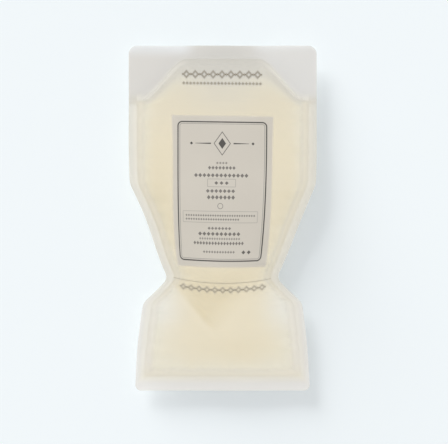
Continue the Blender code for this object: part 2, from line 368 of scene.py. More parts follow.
def dent(x, y):  # where slack film buckles: crisp on its left side, soft on its right
    fromLeft, fromRight, along = dentSides(x, y)
    inside = ease(fromLeft / creases["dentLeftEase"]) * ease(fromRight / creases["dentRightEase"])
    swell = np.sin(math.pi * along ** creases["dentSwell"])
    depth = creases["dentDepth"] * inside * swell
    fromRidge = (fromLeft + creases["ridgeAt"]) / creases["ridgeWidth"]
    ridge = np.exp(-fromRidge ** 2) * swell * (fromRight > 0)
    return depth - creases["dentRidge"] * ridge


def stepAlong(x, y, start, end, width, depth):  # a soft fold: a low side and a high side of a line
    start, end = np.array(start), np.array(end)
    way = (end - start) / np.linalg.norm(end - start)
    along = ((x - start[0]) * way[0] + (y - start[1]) * way[1]) / np.linalg.norm(end - start)
    off = (x - start[0]) * way[1] - (y - start[1]) * way[0]
    return depth * off / width * np.exp(-((off / width) ** 2)) * np.sin(math.pi * np.clip(along, 0, 1))


def wave(place, name, slant=0):
    length, phase = waves[name]
    return np.sin(2 * math.pi * place / length + phase + slant)


def puckers(x, y, inward):  # short waves beside the welds, where flat film is drawn in
    reach = creases["puckerReach"]
    bump = inward / reach * np.exp(1 - inward / reach)
    fine = wave(y, "fineSidePuckers", x * creases["puckerSlant"])
    sides = bump * (wave(y, "sidePuckers") + creases["finePuckers"] * fine)
    nearWaist = np.exp(-(((y - waist) / creases["waistReach"]) ** 2))
    sides = sides * (1 + creases["morePuckersAtWaist"] * nearWaist)
    fromSkirt = np.maximum(y - skirtWeld, 0) / reach
    skirtBump = fromSkirt * np.exp(1 - fromSkirt)
    skirt = skirtBump * (wave(x, "skirtPuckers") + creases["fineSkirtPuckers"] * wave(x, "fineSkirtPuckers"))
    return creases["puckerHeight"] * (sides + skirt)


def settle(x, y):  # how the seals wave and curl; every web takes this part alike
    lip = ease((y - fold) / pouch["gussetDepth"])
    curl = (abs(x) / (pouch["bodyWidth"] / 2)) ** creases["curlPower"]
    lipShift = creases["lipCurl"] * lip * curl + creases["lipWave"] * lip ** 2 * wave(x, "lip")
    skirt = past(skirtWeld - y, creases["droopSpan"])
    skirtShift = skirt * (creases["skirtWave"] * wave(x, "skirt") - creases["skirtDroop"] * curl)
    edge = past(abs(x) / halfWidth(y), creases["sealSpan"])
    sideShift = creases["sealWave"] * edge * wave(y, "seals", creases["sealPhase"] * np.sign(x))
    return lipShift + skirtShift + sideShift


def fillShares(plan):  # how far out to the weld a place lies, and how full the pouch is along its length
    x, y = plan["x"], plan["y"]
    halfWeld = halfWidth(y) - pouch["sideSeal"]
    beyondFold = np.arange(y.shape[1]) >= plan["foldRow"]
    beforeFold = bulge["atFold"] + (1 - bulge["atFold"]) * (fold - y) / bulge["gussetReach"]
    toArch = np.where(beyondFold, bulge["atFold"] * (1 - plan["tongueStep"]), beforeFold)
    fromSkirt = np.maximum(y - skirtWeld, 0) / bulge["skirtReach"]
    ends = rounded(fromSkirt) * toed(fromSkirt, bulge["toe"] / bulge["skirtReach"]) * rounded(toArch)
    ends = ends * toed(toArch, bulge["toe"] / (bulge["gussetReach"] * bulge["archToeStretch"]))
    return {
        "halfWeld": halfWeld,
        "across": np.clip(abs(x) / halfWeld, 0, 1),
        "beyondFold": beyondFold,
        "ends": ends,
    }


def layHeights(plan, shares):
    x, y, across, ends = plan["x"], plan["y"], shares["across"], shares["ends"]
    seam = easedAlong(y, (skirtWeld, waist, shoulder, gussetEnd), bulge["seam"])
    aboveWaist = waist + pouch["waistRadius"]
    rise = easedAlong(y, (skirtWeld, skirtTop, aboveWaist, shoulder, gussetEnd), bulge["rise"])
    inward = (1 - across) * shares["halfWeld"]
    sideToe = toed(inward, bulge["toe"])
    fullness = (1 - across ** bulge["across"]) ** bulge["edgeRounding"] * ends ** bulge["endRounding"]
    offRest = np.clip((across - bulge["restingShare"]) / (1 - bulge["restingShare"]), 0, 1)
    backFullness = (1 - offRest ** bulge["across"]) ** bulge["edgeRounding"]
    backFullness = backFullness * ends ** (bulge["endRounding"] / 2)

    spread = pouch["lipSpread"] / 2 * (1 - (x / (pouch["bodyWidth"] / 2)) ** 2)
    pleat = gap / 2 + spread * ease((y - fold) / pouch["gussetDepth"])
    stack = np.where(shares["beyondFold"], pleat + filmThickness + gap, gap / 2)
    drawn = puckers(x, y, inward) * (ends > 0)
    start, end = creases["shoulderCrease"]
    pressed = dent(x, y) + stepAlong(x, y, start, end, creases["shoulderWidth"], creases["shoulderDepth"])
    frontRise = gap / 2 + (rise - pressed) * fullness * sideToe + drawn
    backDrop = gap / 2 + (seam - gap / 2 - filmThickness) * backFullness * sideToe
    backDrop = backDrop + drawn * (backFullness < bulge["backPuckersUpTo"])
    front = seam + np.maximum(frontRise, stack)
    back = np.maximum(seam - np.maximum(backDrop, stack), filmThickness)
    upperLeaf, lowerLeaf = seam + pleat, seam - pleat

    fillTop = np.maximum(front - gap * steepness(plan, front), seam + bulge["leastFill"])
    fillBottom = np.minimum(back + gap * steepness(plan, back), seam - bulge["leastFill"])
    tongueTop = upperLeaf + filmThickness + gap
    tongueBottom = lowerLeaf - filmThickness - gap
    least = bulge["leastFillOverTongue"] * (1 - plan["tongueStep"] ** 4)
    spacing = bulge["leastGapShare"] * gap
    inside = (slice(grid["sealCells"], -grid["sealCells"]), slice(plan["foldRow"], plan["archRow"] + 1))
    fillTop[inside] = np.maximum(fillTop, tongueTop + least)[inside]
    fillBottom[inside] = np.minimum(fillBottom, tongueBottom - least)[inside]
    front[inside] = np.maximum(front, fillTop + spacing)[inside]
    back[inside] = np.minimum(back, fillBottom - spacing)[inside]

    showsBelow = 1 - tint["hiddenByGusset"] * ease(plan["tongueStep"] / tint["hiddenByStep"])
    bothSides = fillTop - tongueTop + showsBelow * (tongueBottom - fillBottom)
    depth = np.where(shares["beyondFold"], bothSides, fillTop - fillBottom)
    heights = {
        "front": front,
        "back": back,
        "upperLeaf": upperLeaf,
        "lowerLeaf": lowerLeaf,
        "fillTop": fillTop,
        "fillBottom": fillBottom,
        "tongueTop": tongueTop,
        "tongueBottom": tongueBottom,
    }
    shift = settle(x, y)
    return {name: z + shift for name, z in heights.items()}, depth


def layTints(plan, shares):  # how much of each look every point of the front film takes
    x, y, halfWeld = plan["x"], plan["y"], shares["halfWeld"]
    outside = np.maximum(abs(x) - halfWeld, skirtWeld - y)
    besideGusset = past(y - archFoot, tint["besideGussetSpan"])
    nearWeld = 1 - ease(abs(outside) / np.where(outside > 0, tint["glowOutward"], tint["glowInward"]))
    onToe = np.exp(-(((outside + tint["toeAt"]) / tint["toeHalfWidth"]) ** 2))
    fromEdge = arch(x) - y - tint["archEdgeAt"] + tint["archEdgeShift"] * past(abs(x), tint["archShiftSpan"])
    onArch = np.exp(-((fromEdge / tint["archEdgeHalfWidth"]) ** 2)) * past(y - archFoot, tint["archFootSpan"])
    onLegs = tint["archEdgeAtCrown"] + (1 - tint["archEdgeAtCrown"]) * past(abs(x), tint["archLegSpan"])
    atEnd = past(abs(x), tint["coolEndSpan"]) * (1 - ease((gussetEnd - y) / tint["coolEndReach"]))
    atEnd = atEnd * (1 - tint["coolEndLossOnRight"] * (x > 0))
    rightLip = past(x, tint["rightLipSpan"]) * past(y - arch(x), tint["pastArchSpan"]) * besideGusset
    besideFill = past(y - skirtTop, tint["fillStartSpan"]) * (1 - past(y - archFoot, tint["fillEndSpan"]))
    return {
        "welded": np.where(shares["ends"] > 0, past(shares["across"], tint["weldedSpan"]), 1.0),
        # grey where the film stands off the liquid, and painted shade: darker over the lip's middle and the
        # crown above the label
        "slack": slackFilm(x, y),
        "besideFill": besideFill,
        "warmToe": np.maximum(besideFill, 1 - past(y - skirtWeld, tint["warmToeSpan"])),
        # painted light and the flange's cream tone along the weld: the steep film just inside it is lightened
        # against its shade
        "weldToneAndLight": nearWeld * (1 - besideGusset),
        # painted light: a lighter band on the steep toe inside the weld, against its shade; warmer beside the
        # liquid, paler in the skirt
        "toePaintedLight": onToe * (1 - besideGusset),
        # painted light: a lighter band just inside the arch, where the sloping film is shaded
        "archEdgeLight": onArch * onLegs * (abs(x) < halfWeld),
        "coolEnd": np.maximum(atEnd, tint["rightLip"] * rightLip),
    }


def slackFilm(x, y):  # 1 where the front film stands off the liquid and looks grey; also painted shade, darker over the middle of the lip and over the crown above the label
    nearMiddle = 1 - ease(abs(x) / tint["slackHalfWidth"])
    below = arch(x) - y
    reach = tint["slackReachAtLegs"] + (tint["slackReach"] - tint["slackReachAtLegs"]) * nearMiddle
    overCrown = tint["crownSlackAndShade"] * nearMiddle * (1 - ease(below / tint["crownSlackAndShadeEnd"]) ** 2)
    awayFromArch = tint["slackAtArch"] + (1 - tint["slackAtArch"]) * ease(below / tint["slackGrowth"])
    overLiquid = np.maximum(1 - ease(below / reach), overCrown) * awayFromArch
    overLiquid *= tint["slackAtSides"] + (tint["slackInMiddle"] - tint["slackAtSides"]) * nearMiddle
    onLip = tint["lipAtSides"] + (1 - tint["lipAtSides"]) * nearMiddle ** tint["lipPower"]
    onLip = onLip * (1 - tint["lipLossOnRight"] * past(x, tint["lipLossSpan"]))
    return np.where(below > 0, overLiquid, onLip)


def milky(x, y):  # 1 at the shoulders of the skirt, where the liquid thins out
    place, reach = tint["milkyAt"], tint["milkyReach"]
    return tint["milky"] * ease((abs(x) - place[0]) / reach[0]) * np.exp(-(((y - place[1]) / reach[1]) ** 2))


def goldAndHollowShade(x, y):  # 1 where the liquid is painted deeper gold: patches of deeper tone, and painted shade in the buckle's hollow
    patch = np.zeros_like(x)
    for middle, half, strength in tint["goldPatches"]:
        away = ((x - middle[0]) / half[0]) ** 2 + ((y - middle[1]) / half[1]) ** 2
        patch = np.maximum(patch, strength * np.exp(-away))
    return np.maximum(patch, dentInside(x, y))


def steepness(plan, z):  # how much taller a gap must be upright to keep its size square to a web
    points = np.stack([plan["x"], plan["y"], z], axis=-1)
    normal = np.cross(np.gradient(points, axis=0), np.gradient(points, axis=1))
    return np.minimum(np.linalg.norm(normal, axis=-1) / abs(normal[..., 2]), bulge["mostSteepness"])


print("laying out the webs")
plan = layPlan()
shares = fillShares(plan)
heights, fillDepth = layHeights(plan, shares)
tints = layTints(plan, shares)


# The webs as meshes.

def pulled(x, y):  # the soft sides give way a little from the cut outline
    for side, start, middle, half, shift in edgePulls["places"]:
        outer = ease((side * x - start) / edgePulls["ease"])
        x = x + shift * outer * np.exp(-(((y - middle) / half) ** 2))
    return x


def web(z, rows=slice(None)):
    return np.stack([pulled(plan["x"], plan["y"]), plan["y"], z], axis=-1)[:, rows]


def addNumbers(mesh, name, values):  # a number or a place kept at every point
    values = np.asarray(values, np.float32)
    kind, slot = ("FLOAT_VECTOR", "vector") if values.ndim == 2 else ("FLOAT", "value")
    mesh.attributes.new(name, kind, "POINT").data.foreach_set(slot, values.ravel())


def buildPiece(name, points, faces, numbers, material, bakePlaces=None):
    mesh = bpy.data.meshes.new(name)
    mesh.from_pydata(points.reshape(-1, 3).tolist(), [], faces)
    for key, values in numbers.items():
        addNumbers(mesh, key, values)
    if bakePlaces is not None:
        corners = np.empty(len(mesh.loops), np.int32)
        mesh.loops.foreach_get("vertex_index", corners)
        layer = mesh.uv_layers.new(name="OFBake")
        layer.uv.foreach_set("vector", bakePlaces.reshape(-1, 2)[corners].astype(np.float32).ravel())
    mesh.materials.append(material)
    mesh.shade_smooth()
    mesh.validate()
    piece = bpy.data.objects.new(name, mesh)
    bpy.context.scene.collection.objects.link(piece)
    print(name, "has", len(mesh.polygons), "faces")
    return piece


def sheetFaces(columns, rows, up=True):
    n = np.arange(columns * rows).reshape(columns, rows)
    quads = [n[:-1, :-1], n[1:, :-1], n[1:, 1:], n[:-1, 1:]]
    if not up:
        quads.reverse()
    return np.stack(quads, axis=-1).reshape(-1, 4).tolist()


def strip(oneSide, otherSide):
    return list(zip(oneSide, oneSide[1:], otherSide[1:], otherSide))


def fillLoops():  # closed loops of the fill, one at each column between the welds
    filled = slice(plan["filledRow"] - 1, plan["archRow"] + 1)
    tongue = slice(plan["foldRow"], plan["archRow"] + 1)
    kept = np.where(abs(plan["places"]) <= 2)[0]
    columns = slice(kept[0], kept[-1] + 1)
    parts = [
        (web(heights["fillTop"], filled), fillDepth[:, filled]),
        (web(heights["tongueTop"], tongue)[:, ::-1], fillDepth[:, tongue][:, ::-1]),
        (web(heights["tongueBottom"], tongue), fillDepth[:, tongue]),
        (web(heights["fillBottom"], filled)[:, ::-1], fillDepth[:, filled][:, ::-1]),
    ]
    points = np.concatenate([part[0] for part in parts], axis=1)[columns]
    depth = np.concatenate([part[1] for part in parts], axis=1)[columns]
    x, y = points[..., 0], points[..., 1]
    count, size = points.shape[:2]
    long, short = filled.stop - filled.start, tongue.stop - tongue.start
    top, over, under, bottom = np.split(np.arange(size), [long, long + short, long + 2 * short])
    over, bottom, step = over[::-1], bottom[::-1], long - short
    ends = strip(top[:step], bottom[:step])
    ends.append((top[step - 1], top[step], over[0], under[0], bottom[step], bottom[step - 1]))
    ends += strip(top[step:], over) + strip(under, bottom[step:])
    around = list(range(size)) + [0]
    faces = []
    for n in range(count - 1):
        faces += strip([(n + 1) * size + k for k in around], [n * size + k for k in around])
    faces += [tuple(int(k) for k in face) for face in ends]
    faces += [tuple((count - 1) * size + int(k) for k in reversed(face)) for face in ends]
    return points, faces, {
        "fillDepth": depth.ravel(),
        "goldAndShadeShare": goldAndHollowShade(x, y).ravel(),
        "milky": milky(x, y).ravel(),
        "slack": (slackFilm(x, y) * (y < arch(x))).ravel(),
    }


# Shader nodes.

class Socket:  # a shader value that takes Python arithmetic
    def __init__(self, recipe, plug):
        self.recipe = recipe
        self.plug = plug

    def maths(self, operation, *others):
        return self.recipe.maths(operation, self, *others)

    def __add__(self, other):
        return self.maths("ADD", other)

    def __radd__(self, other):
        return self.recipe.maths("ADD", other, self)

    def __sub__(self, other):
        return self.maths("SUBTRACT", other)

    def __rsub__(self, other):
        return self.recipe.maths("SUBTRACT", other, self)

    def __mul__(self, other):
        return self.maths("MULTIPLY", other)

    def __rmul__(self, other):
        return self.recipe.maths("MULTIPLY", other, self)

    def __truediv__(self, other):
        return self.maths("DIVIDE", other)

    def __pow__(self, other):
        return self.maths("POWER", other)

    def __abs__(self):
        return self.maths("ABSOLUTE")

    def least(self, other):
        return self.maths("MINIMUM", other)

    def most(self, other):
        return self.maths("MAXIMUM", other)

    def clamped(self):
        return self.recipe.node("ShaderNodeClamp", {}, {"Value": self})


class Recipe:  # the nodes of one material, or of the world
    def __init__(self, owner):
        owner.use_nodes = True
        self.owner = owner
        self.tree = owner.node_tree
        kinds = ("BSDF_PRINCIPLED", "BACKGROUND")
        self.shader = next(node for node in self.tree.nodes if node.type in kinds)

    def node(self, kind, settings, inputs, output=0):
        made = self.tree.nodes.new(kind)
        for key, value in settings.items():
            setattr(made, key, value)
        for key, value in inputs.items():
            self.feed(made.inputs[key], value)
        return Socket(self, made.outputs[output])

    def feed(self, plug, value):
        if isinstance(value, Socket):
            self.tree.links.new(value.plug, plug)
        elif isinstance(value, tuple) and len(value) == 3 and plug.type == "RGBA":
            plug.default_value = (*value, 1)
        else:
            plug.default_value = value

    def maths(self, operation, *values):
        return self.node("ShaderNodeMath", {"operation": operation}, dict(enumerate(values)))

    def kept(self, name, output="Fac"):  # numbers or places stored on the mesh
        return self.node("ShaderNodeAttribute", {"attribute_name": name}, {}, output)

    def parts(self, vector):
        split = self.node("ShaderNodeSeparateXYZ", {}, {0: vector})
        return [Socket(self, plug) for plug in split.plug.node.outputs]

    def noise(self, scale, detail, roughness=0.5):
        place = self.node("ShaderNodeTexCoord", {}, {}, "Object")
        inputs = {"Vector": place, "Scale": scale, "Detail": detail, "Roughness": roughness}
        return self.node("ShaderNodeTexNoise", {}, inputs)

    def blend(self, factor, first, second):  # colours
        settings = {"data_type": "RGBA", "clamp_factor": True}
        return self.node("ShaderNodeMix", settings, {0: factor, 6: first, 7: second}, 2)

    def ranged(self, value, low, high, toLow=0.0, toHigh=1.0):
        settings = {"interpolation_type": "SMOOTHSTEP"}
        inputs = {"Value": value, "From Min": low, "From Max": high, "To Min": toLow, "To Max": toHigh}
        return self.node("ShaderNodeMapRange", settings, inputs)

    def bumped(self, height, distance, strength):
        inputs = {"Strength": strength, "Distance": distance, "Height": height}
        self.feed(self.shader.inputs["Normal"], self.node("ShaderNodeBump", {}, inputs))

    def finish(self, **sockets):
        for key, value in sockets.items():
            self.feed(self.shader.inputs[key.replace("_", " ")], value)
        return self.owner


# The print on the front panel. Places on it are in millimetres, across and up from the pouch's middle.

label = {
    "fieldLeft": -38.75,
    "fieldRight": 38.4,
    "fieldBottom": -35.9,
    "fieldTop": 77.85,
    "frameLeft": -34.0,
    "frameRight": 33.45,
    "frameBottom": -31.2,
    "frameTop": 73.3,
    "frameRadius": 3.3,
    "frameLine": 0.98,
    "innerInset": 1.45,
    "innerLine": 0.32,
    "innerInk": 0.8,
    "boxRadius": 0.3,
    "boxInk": 0.7,
    "ringMiddle": (-1.3, 9.5),
    "ringRadius": 2.0,
    "ringLine": 0.45,
    "ringInk": 0.8,
    "softEdge": 0.28,
    "fieldSoftEdge": 0.7,
    "fieldColour": (0.685, 0.642, 0.57),
    "fieldShade": 0.965,
    "inkColour": (0.045, 0.04, 0.034),
    "tilt": 0.0145,
    "sag": 1.3,
    "sagBelow": 20,
    "sagReach": 50,
    "sagHalfWidth": 34,
    # where the label's upright lines run, as (up, across)
    "fieldLeftLine": [(78, -38.7), (60, -38.0), (21, -37.7), (-5, -37.3), (-26, -35.4), (-37, -33.6)],
    "frameLeftLine": [(74, -34.0), (45, -34.0), (21, -34.0), (-5, -33.4), (-32, -32.2)],
    "frameRightLine": [(74, 33.45), (40, 33.2), (10, 32.15), (-12.5, 30.6), (-32, 28.7)],
    "fieldRightLine": [(78, 38.4), (50, 37.8), (21, 37.0), (-5, 35.9), (-26, 34.2), (-37, 32.6)],
}

filmPrint = {  # the marks outside the label
    "ink": (0.20, 0.165, 0.105),
    "softEdge": 0.4,
    "tilt": 0.0107,
    "waistLineAt": -45.2,
    "waistLineEnds": (-37.8, 37.5),
    "waistLineFade": 1.5,
    "waistLineWidth": 0.42,
    "waistLineSoftEdge": 0.3,
    "waistLineInk": 0.8,
    "sag": 4.2,
    "sagBelow": -10,
    "sagReach": 25,
    "sagHalfWidth": 37.5,
}

seenFrom = {  # the eye that sees the print at its places, all on one level over the table
    "across": 1.0,
    "up": -2.7,
    "height": 0.956,  # this and the level are in metres
    "level": 0.010,
}

# Shares of half a row's height or of the pitch.
lozengeShape = {"wide": 1.15, "widest": 0.46, "tall": 1.1}
chainShape = {"wide": 0.40, "line": 0.34, "lineAt": 0.78, "bead": 0.42}

ornamentShape = {
    "middle": (-0.3, 57.0),
    "half": (6.2, 8.8),
    "line": 0.050,
    "lineCrispness": 14.0,
    "coreHalf": (2.9, 4.2),
    "coreCrispness": 9.0,
    "ruleEnds": (8.6, 20.5),
    "ruleHalfHeight": 0.80,
    "ruleTaper": 0.031,
    "dotAt": 23.4,
    "dotHalf": 1.2,
}

# Rows of plain marks: left, right, bottom, top, pitch of the marks, ink.
markRows = [
    (-5.1, 4.0, 41.2, 43.1, 2.1, 0.65),
    (-11.2, 10.1, 37.1, 39.8, 2.7, 0.80),
    (-21.8, 20.0, 31.2, 34.2, 3.2, 0.82),
    (-6.6, 5.4, 25.6, 28.2, 4.1, 0.85),
    (-12.7, 10.1, 19.4, 22.2, 3.3, 0.80),
    (-11.9, 10.1, 14.4, 17.6, 3.0, 0.82),
    (-28.6, 26.4, 1.6, 3.3, 1.9, 0.70),
    (-28.6, 14.0, -1.2, 0.5, 1.9, 0.70),
    (-11.2, 7.8, -8.0, -5.8, 2.6, 0.75),
    (-18.8, 15.4, -12.4, -9.6, 3.3, 0.82),
    (-18.0, 15.4, -15.5, -13.6, 2.0, 0.62),
    (-22.6, 18.5, -19.2, -16.6, 2.4, 0.78),
    (-15.0, 11.6, -25.4, -23.4, 2.2, 0.68),
    (16.4, 25.2, -26.0, -23.2, 4.1, 0.90),
]
markBoxes = [  # left, right, bottom, top, line
    (-11.3, 10.2, 24.0, 29.9, 0.30),
    (-30.3, 28.1, -2.7, 5.6, 0.26),
]
upperRows = [(-31.0, 30.0, 106.4, 112.6, 7.0, 0.72)]
smallUpperRows = [(-31.0, 30.0, 101.4, 104.0, 2.6, 0.75)]
waistRows = [(-33.0, 33.0, -52.9, -48.0, 6.0, 0.66)]


def seenFromAbove(x, y, z):  # in millimetres, where a point seems to lie on the print's level
    lift = (seenFrom["height"] - seenFrom["level"]) / (seenFrom["height"] - z)
    across = seenFrom["across"] + (x * 1000 - seenFrom["across"]) * lift
    return across, seenFrom["up"] + (y * 1000 - seenFrom["up"]) * lift


def lineThrough(stations, up):
    places, across = zip(*stations)
    return np.polyval(np.polyfit(places, across, 3), np.clip(up, min(places), max(places)))


def sagged(part, across, up):  # how far printed lines hang down where the film bends away
    share = ease((part["sagBelow"] - up) / part["sagReach"])
    return part["sag"] * share * (1 - (across / part["sagHalfWidth"]) ** 2)


def printPlaces():  # places on the label and on the film around it, for every point of the front film
    across, up = seenFromAbove(plan["x"], plan["y"], heights["front"])
    names = ("fieldLeft", "frameLeft", "frameRight", "fieldRight")
    lines = np.stack([lineThrough(label[name + "Line"], up) for name in names])
    straight = [label[name] for name in names]
    u = np.empty_like(across)
    for n, (start, end) in enumerate(zip(lines, lines[1:])):
        share = (across - start) / (end - start)
        here = (share >= 0) | (n == 0)
        u[here] = (straight[n] + share * (straight[n + 1] - straight[n]))[here]
    v = up + label["tilt"] * across + sagged(label, across, up)
    filmV = up + filmPrint["tilt"] * across + sagged(filmPrint, across, up)
    flat = np.zeros_like(u)
    places = ((u, v, flat), (across, filmV, flat))
    return [np.stack(place, axis=-1).reshape(-1, 3) for place in places]


def within(value, low, high, soft):  # 1 between two places, with a soft edge
    return (((high - low) / 2 - abs(value - (low + high) / 2)) / soft + 0.5).clamped()


def fromBox(u, v, left, right, bottom, top, radius):  # distance outside a box with round corners
    across = abs(u - (left + right) / 2) - ((right - left) / 2 - radius)
    up = abs(v - (bottom + top) / 2) - ((top - bottom) / 2 - radius)
    outX, outY = across.most(0.0), up.most(0.0)
    return (outX * outX + outY * outY).maths("SQRT") + across.most(up).least(0.0) - radius


def lineAt(distance, width, soft):  # ink along the places where a distance is 0
    return ((width / 2 - abs(distance)) / soft + 0.5).clamped()


def marks(u, v, rows, soft):  # beaded lines: a whole number of small lozenges in each row
    ink = 0.0
    for left, right, bottom, top, pitch, strength in rows:
        pitch = (right - left) / round((right - left) / pitch)
        half, up = (top - bottom) / 2, abs(v - (top + bottom) / 2)
        off = abs(((u - left) / pitch).maths("FRACT") - 0.5) * pitch
        wide = min(half * lozengeShape["wide"], pitch * lozengeShape["widest"])
        lozenge = (1.0 - off / wide - up / (half * lozengeShape["tall"])) * (half / soft) + 0.5
        ink = ink + lozenge.clamped() * within(u, left, right, soft) * strength
    return ink


def chain(u, v, rows, soft):  # open lozenges with a bead between each two
    ink = 0.0
    for left, right, bottom, top, pitch, strength in rows:
        pitch = (right - left) / round((right - left) / pitch)
        half, up = (top - bottom) / 2, abs(v - (top + bottom) / 2)
        off = abs(((u - left) / pitch).maths("FRACT") - 0.5) * pitch
        wide = pitch * chainShape["wide"]
        ring = (chainShape["line"] - abs(off / wide + up / half - chainShape["lineAt"])) * (half / soft) + 0.5
        beadWide, beadHalf = wide * chainShape["bead"], half * chainShape["bead"]
        bead = (1.0 - (pitch / 2 - off) / beadWide - up / beadHalf) * (beadHalf / soft) + 0.5
        ink = ink + (ring.clamped() + bead.clamped()) * within(u, left, right, soft) * strength
    return ink


def ornament(u, v, soft):  # a lozenge between two tapered rules, each with a dot at its end
    shape = ornamentShape
    across, up = abs(u - shape["middle"][0]), abs(v - shape["middle"][1])
    fromLine = abs(across / shape["half"][0] + up / shape["half"][1] - 1.0)
    ink = ((shape["line"] - fromLine) * shape["lineCrispness"] + 0.5).clamped()
    fromCore = across / shape["coreHalf"][0] + up / shape["coreHalf"][1] - 1.0
    ink = ink + (fromCore * -shape["coreCrispness"] + 0.5).clamped()
    halfHeight = shape["ruleHalfHeight"] - across * shape["ruleTaper"]
    ink = ink + ((halfHeight - up) / soft + 0.5).clamped() * within(across, *shape["ruleEnds"], soft)
    return ink + ((shape["dotHalf"] - abs(across - shape["dotAt"]) - up) / soft + 0.5).clamped()


def labelInk(u, v):
    soft = label["softEdge"]
    sides = [label[name] for name in ("frameLeft", "frameRight", "frameBottom", "frameTop")]
    fromFrame = fromBox(u, v, *sides, label["frameRadius"])
    ink = lineAt(fromFrame, label["frameLine"], soft)
    ink = ink + label["innerInk"] * lineAt(fromFrame + label["innerInset"], label["innerLine"], soft)
    ink = ink + marks(u, v, markRows, soft)
    for left, right, bottom, top, line in markBoxes:
        edge = lineAt(fromBox(u, v, left, right, bottom, top, label["boxRadius"]), line, soft)
        ink = ink + label["boxInk"] * edge
    across, up = abs(u - label["ringMiddle"][0]), abs(v - label["ringMiddle"][1])
    fromRing = (across ** 2 + up ** 2).maths("SQRT") - label["ringRadius"]
    ink = ink + label["ringInk"] * lineAt(fromRing, label["ringLine"], soft)
    return (ink + ornament(u, v, soft)).clamped()


def filmInk(u, v):  # the two lines of marks above the label, the waist line and the marks under it
    soft = filmPrint["softEdge"]
    line = lineAt(v - filmPrint["waistLineAt"], filmPrint["waistLineWidth"], filmPrint["waistLineSoftEdge"])
    line = line * within(u, *filmPrint["waistLineEnds"], filmPrint["waistLineFade"])
    ink = chain(u, v, upperRows, soft) + marks(u, v, smallUpperRows, soft)
    return (ink + filmPrint["waistLineInk"] * line + chain(u, v, waistRows, soft)).clamped()


film = {
    "cool": (0.86, 0.86, 0.83),
    "warm": (0.88, 0.87, 0.82),
    "sealed": (0.845, 0.822, 0.785),
    "besideFill": (0.765, 0.735, 0.645),
    # grey of film standing off the liquid, also the colour of painted shade on the lip and crown
    "slack": (0.695, 0.68, 0.64),
    # cream flange tone and painted light along the weld
    "weldToneAndLight": (0.790, 0.752, 0.655),
    "glowAlpha": 0.74,
    # painted light on the toe inside the weld, beside the liquid and in the skirt
    "toe": (0.91, 0.865, 0.74),
    "toeAlpha": 0.68,
    "toeInSkirt": (0.93, 0.90, 0.82),
    "coolEnd": (0.91, 0.935, 0.95),
    # painted light just inside the arch, where the sloping film is shaded
    "archEdgeLight": (0.90, 0.875, 0.80),
    "archEdgeAlpha": 0.80,
    "alpha": 0.32,
    "sealedAlpha": 0.58,
    "slackAlpha": 0.66,
    "labelAlpha": 0.86,
    "roughness": 0.46,
    "backAlpha": 0.44,
    "slackLossOnWeld": 0.3,
    "inkAlpha": 0.5,
    "inkInRoughness": 0.06,
    "cloudScale": 26.0,
    "plainCloudScale": 31.0,
    "cloudDetail": 3.0,
    "cloudSpan": (0.3, 0.7),
    "grainScale": 1400.0,
    "grainDetail": 2.0,
    "grainInRoughness": 0.12,
    "grainInBump": 0.6,
    "cloudInBump": 0.4,
    "bumpDistance": 0.00005,
    "bumpStrength": 0.6,
}


def frosted(recipe, cloud):  # sets the film's fine bump and gives its roughness
    grain = recipe.noise(film["grainScale"], film["grainDetail"])
    height = grain * film["grainInBump"] + cloud * film["cloudInBump"]
    recipe.bumped(height, film["bumpDistance"], film["bumpStrength"])
    return film["roughness"] + (grain - 0.5) * film["grainInRoughness"]


def frontFilmMaterial():
    recipe = Recipe(bpy.data.materials.new("printedFrostedFilm"))
    u, v, _ = recipe.parts(recipe.kept("labelPlace", "Vector"))
    filmU, filmV, _ = recipe.parts(recipe.kept("filmPlace", "Vector"))
    field = within(u, label["fieldLeft"], label["fieldRight"], label["fieldSoftEdge"])
    field = field * within(v, label["fieldBottom"], label["fieldTop"], label["fieldSoftEdge"])
    dark, warm = labelInk(u, v), filmInk(filmU, filmV)

    cloud = recipe.noise(film["cloudScale"], film["cloudDetail"])
    welded, slack, besideFill, warmToe, weldToneAndLight, toePaintedLight, archEdgeLight, coolEnd = map(recipe.kept, tints)
    clear = recipe.blend(cloud, film["cool"], film["warm"])
    clear = recipe.blend(welded, clear, recipe.blend(besideFill, film["sealed"], film["besideFill"]))
    # grey film off the liquid, and painted shade on the lip and crown
    clear = recipe.blend(slack, clear, film["slack"])
    # cream flange tone and painted light along the weld
    clear = recipe.blend(weldToneAndLight, clear, film["weldToneAndLight"])
    # painted light on the toe inside the weld
    clear = recipe.blend(toePaintedLight, clear, recipe.blend(warmToe, film["toeInSkirt"], film["toe"]))
    clear = recipe.blend(coolEnd, clear, film["coolEnd"])
    # painted light just inside the arch
    clear = recipe.blend(archEdgeLight, clear, film["archEdgeLight"])
    shaded = tuple(part * label["fieldShade"] for part in label["fieldColour"])
    paper = recipe.blend(recipe.ranged(cloud, *film["cloudSpan"]), label["fieldColour"], shaded)
    colour = recipe.blend(field, clear, paper)
    colour = recipe.blend(warm, colour, filmPrint["ink"])
    colour = recipe.blend(dark, colour, label["inkColour"])

    alpha = film["alpha"] + welded * (film["sealedAlpha"] - film["alpha"])
    overSlack = slack * (film["slackAlpha"] - film["alpha"])
    alpha = alpha + overSlack * (1 - film["slackLossOnWeld"] * welded)
    alpha = alpha + weldToneAndLight * (film["glowAlpha"] - alpha)
    alpha = alpha + toePaintedLight * (film["toeAlpha"] - alpha)
    alpha = alpha + archEdgeLight * (film["archEdgeAlpha"] - alpha)
    alpha = alpha + field * (film["labelAlpha"] - film["alpha"])
    alpha = (alpha + dark.most(warm) * film["inkAlpha"]).clamped()
    roughness = frosted(recipe, cloud) - dark * film["inkInRoughness"]
    return recipe.finish(Base_Color=colour, Alpha=alpha, Roughness=roughness, Metallic=0.0)


